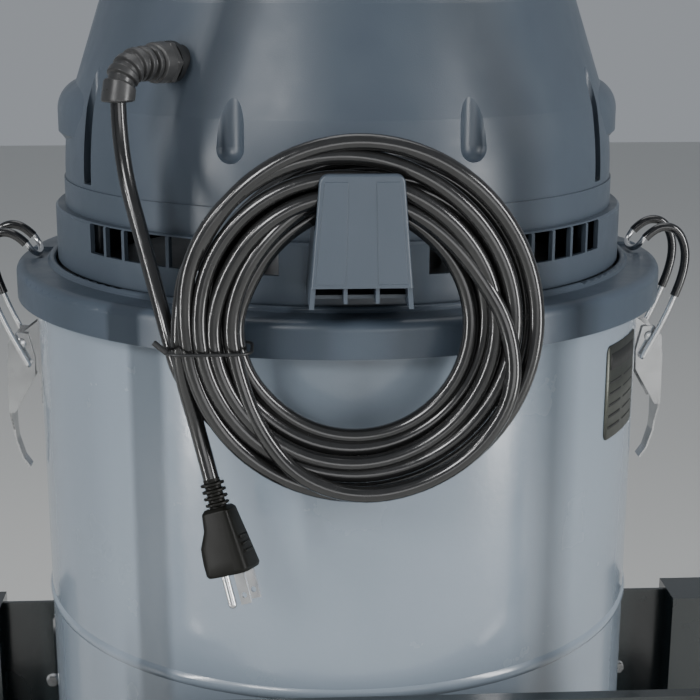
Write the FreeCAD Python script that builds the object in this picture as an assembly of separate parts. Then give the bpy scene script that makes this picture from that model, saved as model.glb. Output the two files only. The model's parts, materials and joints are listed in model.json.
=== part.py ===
"""Industrial wet and dry shop vacuum: steel drum, plastic motor head, trolley and coiled mains cord.

Millimetres, +Z up, origin on the floor under the middle of the trolley. The hose inlet faces +Y and the
cord hook faces -Y. Heights in the head are measured from the lower edge of the lid ring.
"""
import FreeCAD
import Part
import math
import os

Vector = FreeCAD.Vector
UP = Vector(0, 0, 1)
SIDES = (("left", -1), ("right", 1))

# ---------------------------------------------------------------- driving dimensions
DRUM_R = 207.0              # outside radius of the drum wall
DRUM_WALL = 2.0
LID_Z = 560.0               # lower edge of the lid ring above the floor
LID_R = 220.0
LID_TOP = 22.0              # flat top of the lid ring above LID_Z
LIP_R = 195.0               # raised lip round the moat
RING_R = 192.0              # slotted motor base
RING_BOTTOM = 24.5
RING_TOP = 60.6
BAND_R = 185.5              # collar band above the slots
BAND_TOP = 78.3             # seam between collar band and dome
SHELL = 3.0                 # thickness of the plastic mouldings
CORD_R = 4.5                # three-core flexible cord, 9 mm across
COIL_IN = 59.0              # radius of the hole through the coil
COIL_OUT = 102.0
COIL_DEPTH = 28.0
COIL_CENTRE = Vector(-1.5, -236.0, LID_Z + 24.7)
GRIP_AXIS = 60.0             # axis of each side grip, outward from the middle of the dome
SCREW_AZIMUTH = 62.0        # screw pockets, degrees from the rear (-Y) and from the front (+Y)
SCREW_R = 176.0
CROWN = 270.0               # top of the dome above LID_Z
FLUTE_AZIMUTH = 22.5
DECK_Z = 104.0              # underside of the trolley deck
DECK_T = 4.0
DRUM_BOTTOM = DECK_Z + DECK_T    # the drum stands on the deck
DECK_HALF_X = 247.0
DECK_HALF_Y = 222.0
SHEET = 3.0                 # trolley sheet steel
REAR_WHEEL_R = 90.0
REAR_WHEEL_W = 36.0
REAR_WHEEL_X = 270.0        # middle of each rear tyre
REAR_AXLE_Y = -168.0
CASTER_X = 170.0
CASTER_Y = 160.0
CASTER_R = 37.5
CASTER_TRAIL = 28.0
INLET_Z = LID_Z - 112.0
HOSE_R = 25.0               # hose socket bore
HANDLE_X = 228.0
HANDLE_TOP = 905.0
RUN = 0.05                  # running clearance on shafts and pins

NODES = {}


def keep(name, shape):
    """Store a finished node after checking that it is made of valid solids."""
    solids = shape.Solids
    if not solids or not shape.isValid():
        raise ValueError(name + " is not a valid solid")
    NODES[name] = solids[0] if len(solids) == 1 else Part.makeCompound(solids)


# ---------------------------------------------------------------- shape helpers
def revolve(points, centre=Vector(0, 0, 0), direction=UP, angle=360.0):
    """Solid of revolution about Z from (radius, height) points; a point with 4 values ends an arc."""
    edges = []
    first = Vector(points[0][0], 0, points[0][1])
    last = first
    for point in points[1:]:
        end = Vector(point[0], 0, point[1])
        if len(point) == 4:
            edges.append(Part.Arc(last, Vector(point[2], 0, point[3]), end).toShape())
        else:
            edges.append(Part.makeLine(last, end))
        last = end
    if last.distanceToPoint(first) > 1e-6:
        edges.append(Part.makeLine(last, first))
    face = Part.Face(Part.Wire(edges))
    solid = face.revolve(Vector(0, 0, 0), UP, angle)
    turn = FreeCAD.Rotation(UP, direction)
    solid.Placement = FreeCAD.Placement(centre, turn)
    return solid


def cap_point(radius, rise):
    """Point half-way out on a spherical cap that is centred on the axis, above the edge of the cap."""
    sphere = (radius ** 2 + rise ** 2) / (2 * rise)
    middle = radius / 2
    return middle, rise - sphere + math.sqrt(sphere ** 2 - middle ** 2)


def domed_head(seat, outward, radius, rim, rise):
    """Screw or rivet head: a short cylinder with a spherical cap."""
    middle, height = cap_point(radius, rise)
    profile = [(0, 0), (radius, 0), (radius, rim), (0, rim + rise, middle, rim + height)]
    return revolve(profile, seat, outward)


def tube(outer, inner, height, base, direction=UP):
    """Straight tube standing on its base point."""
    body = Part.makeCylinder(outer, height, base, direction)
    bore = Part.makeCylinder(inner, height, base, direction)
    return body.cut(bore)


def box(x0, x1, y0, y1, z0, z1):
    """Box between two corners."""
    return Part.makeBox(x1 - x0, y1 - y0, z1 - z0, Vector(x0, y0, z0))


def plate(points, axis, start, thickness):
    """Flat plate from (u, v) points, extruded along axis 'x', 'y' or 'z' from start."""
    if axis == "x":
        corners = [Vector(start, u, v) for u, v in points]
        push = Vector(thickness, 0, 0)
    elif axis == "y":
        corners = [Vector(u, start, v) for u, v in points]
        push = Vector(0, thickness, 0)
    else:
        corners = [Vector(u, v, start) for u, v in points]
        push = Vector(0, 0, thickness)
    return Part.Face(Part.makePolygon(corners + corners[:1])).extrude(push)


def fused(shapes):
    """One shape from several that touch."""
    whole = shapes[0].multiFuse(shapes[1:]) if len(shapes) > 1 else shapes[0]
    return whole.removeSplitter()


def polar(radius, azimuth, z=0.0):
    """Point at an azimuth counted in degrees from the rear (-Y) toward +X."""
    a = math.radians(azimuth)
    return Vector(radius * math.sin(a), -radius * math.cos(a), z)


def mirrored(shape, side):
    """The +X shape as it is, or its mirror image on the -X side."""
    return shape if side > 0 else shape.mirror(Vector(0, 0, 0), Vector(1, 0, 0))


def bent_rod(points, radius, bends):
    """Round rod along straight runs joined by tangent arcs, and its centre-line length."""
    pieces = []
    length = 0.0
    start = points[0]
    for i, bend in enumerate(bends, 1):
        corner = points[i]
        back = points[i - 1].sub(corner).normalize()
        ahead = points[i + 1].sub(corner).normalize()
        turn = math.pi - back.getAngle(ahead)
        reach = bend * math.tan(turn / 2)
        entry = corner + back * reach
        leave = corner + ahead * reach
        centre = corner + (back + ahead).normalize() * (bend / math.cos(turn / 2))
        pieces.append(rod_run(start, entry, radius))
        section = Part.Face(Part.Wire(Part.makeCircle(radius, entry, back)))
        pieces.append(section.revolve(centre, ahead.cross(back).normalize(), math.degrees(turn)))
        length += start.distanceToPoint(entry) + bend * turn
        start = leave
    pieces.append(rod_run(start, points[-1], radius))
    length += start.distanceToPoint(points[-1])
    rod = pieces[0].multiFuse(pieces[1:]) if len(pieces) > 1 else pieces[0]
    return rod, length


def bent_tube(points, outer, inner, bends):
    """Hollow version of bent_rod."""
    return bent_rod(points, outer, bends)[0].cut(bent_rod(points, inner, bends)[0])


def rod_run(start, end, radius):
    """Straight stretch of a rod."""
    along = end.sub(start)
    return Part.makeCylinder(radius, along.Length, start, along)


def widest_bends(points):
    """Bend radii that use 0.45 of the shorter run at every corner."""
    bends = []
    for i in range(1, len(points) - 1):
        back = points[i - 1].sub(points[i])
        ahead = points[i + 1].sub(points[i])
        turn = math.pi - back.getAngle(ahead)
        bends.append(0.45 * min(back.Length, ahead.Length) / math.tan(turn / 2))
    return bends


def cord_tube(name, points):
    """Cord solid along a hand-laid route; prints its bends, length and volume check."""
    bends = widest_bends(points)
    print(name, "bend radii", [round(bend, 1) for bend in bends])
    solid, length = bent_rod(points, CORD_R, bends)
    section = math.pi * CORD_R ** 2
    print(name, "length", round(length, 1), "volume ratio", round(solid.Volume / (section * length), 4))
    keep(name, solid)


# ---------------------------------------------------------------- drum
def drum():
    """Straight-sided steel drum with a pressed bead, a domed floor joint and the inlet hole."""
    inside = DRUM_R - DRUM_WALL
    rim = LID_Z + 12.0
    bead = LID_Z - 212.0
    foot = 10.0
    outer = [
        (0, DRUM_BOTTOM),
        (DRUM_R - foot, DRUM_BOTTOM),
        (DRUM_R, DRUM_BOTTOM + foot, DRUM_R - foot * 0.29, DRUM_BOTTOM + foot * 0.29),
        (DRUM_R, bead - 4.0),
        (DRUM_R, bead + 4.0, DRUM_R + 1.6, bead),
        (DRUM_R, rim),
        (inside, rim),
        (inside, DRUM_BOTTOM + foot),
        (DRUM_R - foot, DRUM_BOTTOM + DRUM_WALL, inside - foot * 0.25, DRUM_BOTTOM + foot * 0.32),
        (0, DRUM_BOTTOM + DRUM_WALL),
    ]
    hole = Part.makeCylinder(HOSE_R + 5.0, 30.0, Vector(0, DRUM_R - 15.0, INLET_Z), Vector(0, 1, 0))
    keep("drum", revolve(outer).cut(hole))


def rating_plate():
    """Thin metal plate, bent to the drum; it carries no wording."""
    width_angle = 16.5
    z0 = LID_Z - 80.0
    z1 = LID_Z - 18.0
    thick = 0.8
    skin = tube(DRUM_R + thick, DRUM_R, z1 - z0, Vector(0, 0, z0))
    wedge = revolve([(150, z0), (230, z0), (230, z1), (150, z1)], angle=width_angle)
    wedge.rotate(Vector(0, 0, 0), UP, -90 + 60.0 - width_angle / 2)
    keep("rating_plate", skin.common(wedge))


def inlet():
    """Hose socket bolted to the front of the drum, with its gasket, screws and inner deflector."""
    out = Vector(0, 1, 0)
    half = 45.0
    gasket_t = 2.0
    drum_solid = Part.makeCylinder(DRUM_R + 0.1, 200, Vector(0, 0, INLET_Z - 100))
    gasket_solid = Part.makeCylinder(DRUM_R + gasket_t, 200, Vector(0, 0, INLET_Z - 100))
    blank = box(-half, half, 190, DRUM_R + 8, INLET_Z - half, INLET_Z + half)
    blank = blank.makeFillet(10.0, [e for e in blank.Edges if abs(e.tangentAt(0).y) > 0.9])
    bore = Part.makeCylinder(HOSE_R, 120, Vector(0, 170, INLET_Z), out)
    spigot = Part.makeCylinder(HOSE_R + 4, 76, Vector(0, 190, INLET_Z), out)
    collar = Part.makeCylinder(HOSE_R + 7, 8, Vector(0, 258, INLET_Z), out)
    flange = fused([blank.cut(gasket_solid), spigot.cut(gasket_solid), collar]).cut(bore)
    gasket = blank.common(gasket_solid).cut(drum_solid)
    gasket = gasket.cut(Part.makeCylinder(HOSE_R + 5, 120, Vector(0, 170, INLET_Z), out))
    screws = []
    for sx in (-1, 1):
        for sz in (-1, 1):
            x = sx * (half - 9)
            z = INLET_Z + sz * (half - 9)
            hole = Part.makeCylinder(2.5, 60, Vector(x, 180, z), out)
            flange = flange.cut(hole)
            gasket = gasket.cut(hole)
            face = DRUM_R + 8
            shank = Part.makeCylinder(2.5, face - 204.5, Vector(x, 204.5, z), out)
            head = domed_head(Vector(x, face, z), out, 5.0, 0.8, 2.2)
            screws.append(fused([shank, head]))
    keep("inlet_flange", flange)
    keep("inlet_gasket", gasket)
    keep("inlet_screws", Part.makeCompound(screws))
    hood = Part.makeCylinder(HOSE_R + 9, 44, Vector(0, 158, INLET_Z), out)
    hood = hood.cut(Part.makeCylinder(HOSE_R + 7, 44, Vector(0, 160, INLET_Z), out))
    hood = hood.cut(box(-60, 60, 160.1, 230, INLET_Z - 60, INLET_Z - 12))
    hood = hood.common(Part.makeCylinder(DRUM_R - DRUM_WALL, 200, Vector(0, 0, INLET_Z - 100)))
    keep("inlet_deflector", hood)


# ---------------------------------------------------------------- lid and filter
def lid_ring():
    """Ring that closes the drum: rounded skirt, flat top, lip, moat and floor, notched for the latches."""
    wall = 3.0
    floor_z = 9.0
    round_r = 6.0
    profile = [
        (LID_R - wall, 0),
        (LID_R, 0),
        (LID_R, LID_TOP - round_r),
        (LID_R - round_r, LID_TOP, LID_R - round_r * 0.29, LID_TOP - round_r * 0.29),
        (LIP_R + 4, LID_TOP),
        (LIP_R + 3, LID_TOP + 1.5),
        (LIP_R - 1.5, LID_TOP + 1.5, LIP_R + 0.7, LID_TOP + 3.2),
        (LIP_R - 1.5, floor_z + wall),
        (125, floor_z + wall),
        (125, floor_z),
        (LIP_R + 1.5, floor_z),
        (LIP_R + 1.5, LID_TOP - 4),
        (LID_R - wall, LID_TOP - 4),
    ]
    ring = revolve([(p[0], LID_Z + p[1]) + ((p[2], LID_Z + p[3]) if len(p) == 4 else ()) for p in profile])
    notch_floor = LID_Z + LID_TOP - 2.5
    for _, side in SIDES:
        ring = ring.cut(box(*sorted((side * 200, side * 230)), -22, 22, notch_floor, notch_floor + 20))
    keep("lid_ring", ring)


def lid_seal():
    """Filter ring hung on the drum rim, the gasket above it and the cloth filter below it."""
    rim = LID_Z + 12.0
    keep("lid_gasket", tube(DRUM_R + 1, LIP_R + 3, 3.7, Vector(0, 0, rim + 2.2)))
    flange = tube(DRUM_R + 1, LIP_R + 3, 2.0, Vector(0, 0, rim + 0.1))
    wall = tube(LIP_R + 5, LIP_R + 3, 20.0, Vector(0, 0, rim - 18))
    keep("filter_ring", fused([flange, wall]))
    top = rim - 18
    cloth = [
        (LIP_R + 5, top),
        (LIP_R + 3, top),
        (156, top - 58),
        (142, top - 140),
        (120, top - 152, 135, top - 149),
        (0, top - 156),
        (0, top - 158),
        (120, top - 154),
        (144, top - 140, 137, top - 151),
        (158, top - 58),
    ]
    keep("filter_cloth", revolve(cloth))


# ---------------------------------------------------------------- motor head
def vent_ring():
    """Motor base: slotted wall, collar band, inner foot and four screw bosses."""
    z = LID_Z
    step = RING_R - SHELL
    profile = [
        (176, z + 12),
        (179, z + 12),
        (179, z + RING_BOTTOM),
        (RING_R, z + RING_BOTTOM),
        (RING_R, z + RING_TOP - 1.5),
        (RING_R - 1.5, z + RING_TOP),
        (BAND_R, z + RING_TOP),
        (BAND_R, z + BAND_TOP),
        (BAND_R - SHELL, z + BAND_TOP),
        (BAND_R - SHELL, z + RING_TOP - 1),
        (step, z + RING_TOP - 1),
        (step, z + RING_BOTTOM + SHELL),
        (176, z + RING_BOTTOM + SHELL),
    ]
    ring = revolve(profile)
    slot_low = z + 41.5
    slot_high = z + RING_TOP - 0.8
    pitch = 5.4
    rib = 0.75
    slots = []
    for half in (0, 180):
        for mirror in (-1, 1):
            for i in range(8):
                start = 55.4 - pitch * (i + 1) + rib
                cutter = revolve([(step - 2, slot_low), (RING_R + 2, slot_low), (RING_R + 2, slot_high),
                                  (step - 2, slot_high)], angle=pitch - rib)
                turn = start if mirror > 0 else -start - (pitch - rib)
                cutter.rotate(Vector(0, 0, 0), UP, turn - 90 + half)
                slots.append(cutter)
    ring = ring.cut(slots)
    bosses = []
    for azimuth in screw_azimuths():
        foot = polar(SCREW_R, azimuth, z + RING_BOTTOM)
        bosses.append(Part.makeCylinder(5.0, BAND_TOP - RING_BOTTOM, foot))
    ring = fused([ring] + bosses)
    for azimuth in screw_azimuths():
        ring = ring.cut(Part.makeCylinder(2.2, 40, polar(SCREW_R, azimuth, z + BAND_TOP - 25)))
    keep("vent_ring", ring)


def screw_azimuths():
    """The four dome screws, in the pockets nearest the sides."""
    return (SCREW_AZIMUTH, -SCREW_AZIMUTH, 180 - SCREW_AZIMUTH, 180 + SCREW_AZIMUTH)


def dome_profile(inset):
    """Dome outline: almost upright wall, shoulder and crown, moved inward by the inset."""
    z = LID_Z
    edge_r = 112.0 - inset
    edge_z = z + 250.0 - inset * 0.6
    top = z + CROWN - inset
    middle, height = cap_point(edge_r, top - edge_z)
    return [
        (0, z + BAND_TOP),
        (184.5 - inset, z + BAND_TOP),
        (179.5 - inset, z + 128, 183.3 - inset, z + 104),
        (158 - inset, z + 192),
        (edge_r, edge_z, 143 - inset, z + 227 - inset * 0.3),
        (0, top, middle, edge_z + height),
    ]


def pocket_mouth(azimuth):
    """Direction in which a screw pocket opens: turned 30 degrees from the radius toward the rear or front."""
    return azimuth - math.copysign(30.0, math.sin(math.radians(2 * azimuth)))


def dome_cutters(grow):
    """Upright screw pockets and shallow flutes; they run out where the dome narrows."""
    cutters = []
    for azimuth in screw_azimuths():
        floor_z = LID_Z + BAND_TOP + SHELL - grow
        half = 4.8 + grow
        centre = polar(SCREW_R, azimuth, floor_z)
        slot = box(0, 26, -half, half, 0, 190)
        slot.rotate(Vector(0, 0, 0), UP, pocket_mouth(azimuth) - 90)
        slot.translate(centre)
        cutters.append(slot.fuse(Part.makeCylinder(half, 190, centre)))
    for azimuth in (FLUTE_AZIMUTH, -FLUTE_AZIMUTH, 180 - FLUTE_AZIMUTH, 180 + FLUTE_AZIMUTH):
        centre = polar(184.5, azimuth, LID_Z + 112)
        shaft = Part.makeCylinder(9 + grow, 120, centre)
        cutters.append(shaft.fuse(Part.makeSphere(9 + grow, centre)))
    return cutters


def dome_grip(side, inset):
    """Side grip: a swelling round its own upright axis, so that it runs out into the dome all round."""
    reach = GRIP_AXIS + inset
    profile = [
        (0, LID_Z + 92),
        (182.0 - reach, LID_Z + 92),
        (188.5 - reach, LID_Z + 108, 183.5 - reach, LID_Z + 101),
        (188.5 - reach, LID_Z + 122),
        (175 - reach, LID_Z + 141, 185 - reach, LID_Z + 133),
        (0, LID_Z + 150),
    ]
    return revolve(profile, Vector(side * GRIP_AXIS, 0, 0))


def head_dome():
    """Motor cover with side grips, screw pockets, flutes and a hole for the cord gland."""
    outer = revolve(dome_profile(0))
    outer = fused([outer, dome_grip(1, 0), dome_grip(-1, 0)]).cut(dome_cutters(0))
    inner = revolve(dome_profile(SHELL))
    inner = fused([inner, dome_grip(1, SHELL), dome_grip(-1, SHELL)]).cut(dome_cutters(SHELL))
    shell = outer.cut(inner)
    gland_bore = Part.makeCylinder(GLAND_R + RUN, 40, GLAND_FOOT.sub(GLAND_OUT * 15), GLAND_OUT)
    shell = shell.cut(gland_bore)
    for azimuth in screw_azimuths():
        shell = shell.cut(Part.makeCylinder(2.4, 20, polar(SCREW_R, azimuth, LID_Z + BAND_TOP - 5)))
    shell = shell.cut(switch_block())
    keep("head_dome", shell)


def dome_screws():
    """Pan-head screws at the bottom of the four pockets."""
    screws = []
    seat = LID_Z + BAND_TOP + SHELL
    for azimuth in screw_azimuths():
        foot = polar(SCREW_R, azimuth, seat)
        shank = Part.makeCylinder(2.1, 24, foot.sub(Vector(0, 0, 24)))
        head = domed_head(foot, UP, 4.2, 1.2, 1.8)
        screws.append(fused([shank, head]))
    keep("dome_screws", Part.makeCompound(screws))


def cord_hook():
    """Tapered front plate on a hollow ribbed arm that stands out from the motor base."""
    z = LID_Z
    face_y = -255.0
    thick = 3.5
    root_y = -RING_R + 6.0
    front = plate([(-27, z + 48), (27, z + 48), (22, z + 108), (-22, z + 108)], "y", face_y, thick)
    corners = [e for e in front.Edges if abs(e.tangentAt(0).y) > 0.9 and e.CenterOfMass.z > z + 100]
    front = front.makeFillet(5.0, corners)
    rim = [e for e in front.Edges if abs(e.BoundBox.YMax - face_y) < 0.01 and e.BoundBox.ZMax > z + 60]
    front = front.makeFillet(1.6, rim)
    parts = [front]
    arm_top = z + 77.0
    arm_low = z + 36.0
    wall = 2.5
    inner_face = face_y + thick
    top_half = 24.4
    low_half = 27.8
    outline = [(-low_half, arm_low), (low_half, arm_low), (top_half, arm_top), (-top_half, arm_top)]
    hollow = [(-low_half + wall, arm_low - 1), (low_half - wall, arm_low - 1),
              (top_half - wall, arm_top - wall), (-top_half + wall, arm_top - wall)]
    depth = root_y - inner_face
    arm = plate(outline, "y", inner_face, depth).cut(plate(hollow, "y", inner_face - 1, depth + 2))
    parts.append(arm)
    for x in (-8.5, 8.5):
        parts.append(box(x - 1, x + 1, inner_face, root_y, arm_low + 3, arm_top - 1))
    parts.append(box(-low_half + 1, low_half - 1, inner_face + 14, root_y, arm_low + 3, arm_low + 5))
    hook = fused(parts).cut(Part.makeCylinder(RING_R, 200, Vector(0, 0, z - 50)))
    keep("cord_hook", hook)


def suction_motor():
    """Bypass suction motor on its plate, with a rotor that carries both fans."""
    z = LID_Z
    plate_z = z + 12.0
    disc = Part.makeCylinder(165, 3, Vector(0, 0, plate_z))
    keep("motor_plate", disc.cut(Part.makeCylinder(32, 3, Vector(0, 0, plate_z))))
    base = plate_z + 3
    casing = revolve([(34, base), (73, base), (73, base + 50), (40, base + 50), (40, base + 48),
                      (71, base + 48), (71, base + 2), (34, base + 2)])
    keep("motor_casing", casing)
    bearing = 8.0
    frame_z = base + 50
    frame = revolve([(48, frame_z), (48, frame_z + 84), (bearing + RUN, frame_z + 84),
                     (bearing + RUN, frame_z + 80), (45, frame_z + 80), (45, frame_z + 3),
                     (bearing + RUN, frame_z + 3), (bearing + RUN, frame_z)])
    for turn in range(0, 360, 90):
        window = box(30, 60, -14, 14, frame_z + 56, frame_z + 72)
        window.rotate(Vector(0, 0, 0), UP, turn)
        frame = frame.cut(window)
    keep("motor_frame", frame)
    shaft = Part.makeCylinder(bearing, 134, Vector(0, 0, base + 10))
    armature = Part.makeCylinder(30, 46, Vector(0, 0, frame_z + 8))
    impeller = fan(66, 20, base + 8, 8)
    cooler = fan(40, 12, frame_z + 90, 8)
    keep("motor_rotor", fused([shaft, armature, impeller, cooler]))


def fan(radius, height, base, blades):
    """Disc with upright radial blades."""
    parts = [Part.makeCylinder(radius, 2, Vector(0, 0, base))]
    for i in range(blades):
        blade = box(6, radius - 2, -1, 1, base + 1, base + height)
        blade.rotate(Vector(0, 0, 0), UP, 360.0 * i / blades)
        parts.append(blade)
    return fused(parts)


def float_valve():
    """Cage under the motor plate with a ball that the water lifts onto a seat below the impeller."""
    top = LID_Z + 12.0
    cage_r = 42.0
    drop = 92.0
    sheet = 2.0
    ball_r = 34.0
    rest_r = 14.0
    seat_r = 25.0
    touch = ball_r + RUN
    rest_z = top - drop + sheet + math.sqrt(touch ** 2 - rest_r ** 2)
    seated_z = top - sheet - math.sqrt(touch ** 2 - seat_r ** 2)
    print("float_ball lift until it seals", round(seated_z - rest_z, 2))
    cage = tube(cage_r, cage_r - sheet, drop, Vector(0, 0, top - drop))
    floor = tube(cage_r, rest_r, sheet, Vector(0, 0, top - drop))
    seat = tube(cage_r + 12, seat_r, sheet, Vector(0, 0, top - sheet))
    cage = fused([cage, floor, seat])
    for turn in range(0, 360, 60):
        window = box(20, 60, -13, 13, top - drop + 8, top - 14)
        window.rotate(Vector(0, 0, 0), UP, turn)
        cage = cage.cut(window)
    keep("float_cage", cage)
    keep("float_ball", Part.makeSphere(ball_r, Vector(0, 0, rest_z)))


def switch_block():
    """Block that the switch panel fills in the front of the dome."""
    z = LID_Z + 150
    return box(-24, 24, 150, 200, z - 16, z + 16)


def power_switch():
    """Flat switch panel in the front of the dome, with a rocker on its own pin."""
    z = LID_Z + 150
    face_y = 172.0
    panel = switch_block().common(box(-60, 60, 150, face_y, z - 30, z + 30))
    panel = panel.cut(box(-8, 8, 154, 200, z - 13, z + 13))
    pin_y = face_y - 6.0
    pin = Part.makeCylinder(1.5, 18, Vector(-9, pin_y, z), Vector(1, 0, 0))
    keep("switch_panel", fused([panel, pin]))
    rocker = plate([(pin_y + 4, z - 9.5), (pin_y + 9, z - 10.5), (pin_y + 6.4, z),
                    (pin_y + 4, z + 9.5), (pin_y - 4, z + 7), (pin_y - 4, z - 7)], "x", -7.5, 15)
    rocker = rocker.cut(Part.makeCylinder(1.5 + RUN, 30, Vector(-15, pin_y, z), Vector(1, 0, 0)))
    keep("power_rocker", rocker)


# ---------------------------------------------------------------- latches
PIVOT = Vector(221.4, 0, LID_Z - 40.0)     # lever pin, +X side
EYE = Vector(215.9, 0, LID_Z - 54.0)       # where the bail hooks into the lever, inboard of the pivot
BAIL_HALF = 16.5                           # half the distance between the two legs of the bail
WIRE_R = 2.0
SLEEVE_R = 3.2


def bail_leg(y):
    """Route of one bail leg, from the lever eye up and over the lid edge to the crossbar."""
    z = LID_Z
    return [
        Vector(EYE.x, y, EYE.z),
        Vector(233, y, z - 20),
        Vector(244.5, y, z + 16),
        Vector(236, y, z + 39.5),
        Vector(217, y, z + 38.5),
        Vector(206.5, y, z + 22.4),
    ]


BAIL_BENDS = [100.0, 38.0, 15.0, 13.0]


def latches():
    """Over-centre toggle latches at both sides of the drum."""
    for name, side in SIDES:
        keep("latch_base_" + name, mirrored(latch_base(), side))
        keep("latch_pin_" + name, mirrored(latch_pin(), side))
        keep("latch_lever_" + name, mirrored(latch_lever(), side))
        keep("latch_bail_" + name, mirrored(latch_bail(), side))
        keep("latch_sleeves_" + name, mirrored(latch_sleeves(), side))


def latch_base():
    """Bracket riveted to the drum, with two ears for the lever pin."""
    z = LID_Z
    back = plate([(-10, z - 84), (10, z - 84), (10, z - 22), (-10, z - 22)], "x", DRUM_R, 2)
    ear = [(DRUM_R + 1, z - 64), (PIVOT.x + 2, z - 47), (PIVOT.x + 4.5, z - 40), (PIVOT.x, z - 34),
           (DRUM_R + 1, z - 24)]
    parts = [back]
    for y in (-9.5, 7.5):
        parts.append(plate(ear, "y", y, 2))
    for height in (z - 76, z - 30):
        parts.append(domed_head(Vector(DRUM_R + 2, 0, height), Vector(1, 0, 0), 3.5, 0.4, 1.4))
    return fused(parts).cut(Part.makeCylinder(2.5, 40, Vector(PIVOT.x, -20, PIVOT.z), Vector(0, 1, 0)))


def latch_pin():
    """Rivet through the ears of the bracket and the cheeks of the lever."""
    shank = Part.makeCylinder(2.5, 26.4, Vector(PIVOT.x, -13.2, PIVOT.z), Vector(0, 1, 0))
    heads = []
    for y, outward in ((13.2, 1), (-13.2, -1)):
        heads.append(domed_head(Vector(PIVOT.x, y, PIVOT.z), Vector(0, outward, 0), 4.0, 0.3, 0.8))
    return fused([shank] + heads)


def latch_lever():
    """Pressed lever: two cheeks, a back web between them and a finger tail that curls inward."""
    z = LID_Z
    cheek = [(212, z - 50), (216, z - 33), (224, z - 32), (230, z - 40), (231, z - 60), (231, z - 90),
             (227.5, z - 90), (212.5, z - 64)]
    parts = []
    for y in (-12.6, 10.8):
        parts.append(plate(cheek, "y", y, 1.8))
    spine = [(231.2, z - 52), (231.6, z - 92), (229.6, z - 112), (225.6, z - 126), (220.8, z - 133),
             (219.8, z - 132.2), (224.4, z - 125.4), (228.4, z - 111.6), (230.2, z - 92), (229.8, z - 52)]
    web = plate(spine, "y", -12.6, 25.2)
    trim = plate([(-12.6, z - 50), (12.6, z - 50), (12.6, z - 90), (7.0, z - 104), (5.5, z - 134), (-5.5, z - 134),
                  (-7.0, z - 104), (-12.6, z - 90)], "x", 200, 50)
    parts.append(web.common(trim))
    lever = fused(parts)
    for point in (PIVOT, EYE):
        radius = 2.5 if point is PIVOT else WIRE_R
        lever = lever.cut(Part.makeCylinder(radius + RUN, 60, Vector(point.x, -30, point.z), Vector(0, 1, 0)))
    return lever


def latch_bail():
    """Wire bail: two legs joined by a crossbar over the lid, their ends turned in through the lever."""
    parts = []
    for y in (-BAIL_HALF, BAIL_HALF):
        leg, _ = bent_rod(bail_leg(y), WIRE_R, BAIL_BENDS)
        parts.append(leg)
        inward = -1 if y > 0 else 1
        parts.append(Part.makeSphere(WIRE_R, Vector(EYE.x, y, EYE.z)))
        parts.append(Part.makeCylinder(WIRE_R, BAIL_HALF - 10.2, Vector(EYE.x, y, EYE.z), Vector(0, inward, 0)))
    end = bail_leg(0)[-1]
    parts.append(Part.makeCylinder(2.4, 2 * BAIL_HALF + 6, Vector(end.x, -BAIL_HALF - 3, end.z), Vector(0, 1, 0)))
    return fused(parts)


def latch_sleeves():
    """Soft sleeves over both bail legs, from near the lid edge to the crossbar."""
    sleeves = []
    for y in (-BAIL_HALF, BAIL_HALF):
        route = bail_leg(y)
        start = route[1] + (route[2] - route[1]) * 0.26
        stop = route[4] + (route[5] - route[4]) * 0.5
        sleeves.append(bent_tube([start] + route[2:5] + [stop], SLEEVE_R, WIRE_R, BAIL_BENDS[1:]))
    return Part.makeCompound(sleeves)


# ---------------------------------------------------------------- trolley
WEB_TOP = LID_Z - 238.0
REAR_TOP = LID_Z - 208.0


def trolley():
    """Sheet-steel trolley: deck with axle lugs, end panels, and a cheek with a post on each side."""
    deck = box(-DECK_HALF_X, DECK_HALF_X, -DECK_HALF_Y, DECK_HALF_Y, DECK_Z, DECK_Z + DECK_T)
    lugs = []
    for x in (-225, -70, 67, 222):
        lugs.append(box(x, x + 3, REAR_AXLE_Y - 16, REAR_AXLE_Y + 16, REAR_WHEEL_R - 14, DECK_Z))
    deck = fused([deck] + lugs)
    axle_hole = Part.makeCylinder(8.0, 600, Vector(-300, REAR_AXLE_Y, REAR_WHEEL_R), Vector(1, 0, 0))
    keep("trolley_deck", deck.cut(axle_hole))

    floor_z = DECK_Z + DECK_T
    rear = box(-DECK_HALF_X, DECK_HALF_X, -DECK_HALF_Y - SHEET, -DECK_HALF_Y, DECK_Z, REAR_TOP)
    fold = box(-DECK_HALF_X, DECK_HALF_X, -DECK_HALF_Y - SHEET, -DECK_HALF_Y + 6, REAR_TOP - 2, REAR_TOP)
    keep("trolley_rear_panel", fused([rear, fold]))
    front_top = DECK_Z + 90.0
    front = box(-DECK_HALF_X, DECK_HALF_X, DECK_HALF_Y, DECK_HALF_Y + SHEET, DECK_Z, front_top)
    lip = box(-DECK_HALF_X, DECK_HALF_X, DECK_HALF_Y - 6, DECK_HALF_Y + SHEET, front_top - 2, front_top)
    keep("trolley_front_panel", fused([front, lip]))

    bolts = []
    for name, side in SIDES:
        keep("trolley_cheek_" + name, mirrored(trolley_cheek(floor_z), side))
        for height in (WEB_TOP - 62, WEB_TOP - 140):
            centre = Vector(side * 212.5, 0, height)
            bolts.append(hex_bolt(Vector(centre.x, -4.0, height), Vector(0, -1, 0)))
    for x in (-200, 200):
        for height in (DECK_Z + 40, REAR_TOP - 30):
            bolts.append(hex_bolt(Vector(x, -DECK_HALF_Y - SHEET, height), Vector(0, -1, 0)))
    keep("trolley_bolts", Part.makeCompound(bolts))


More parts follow.
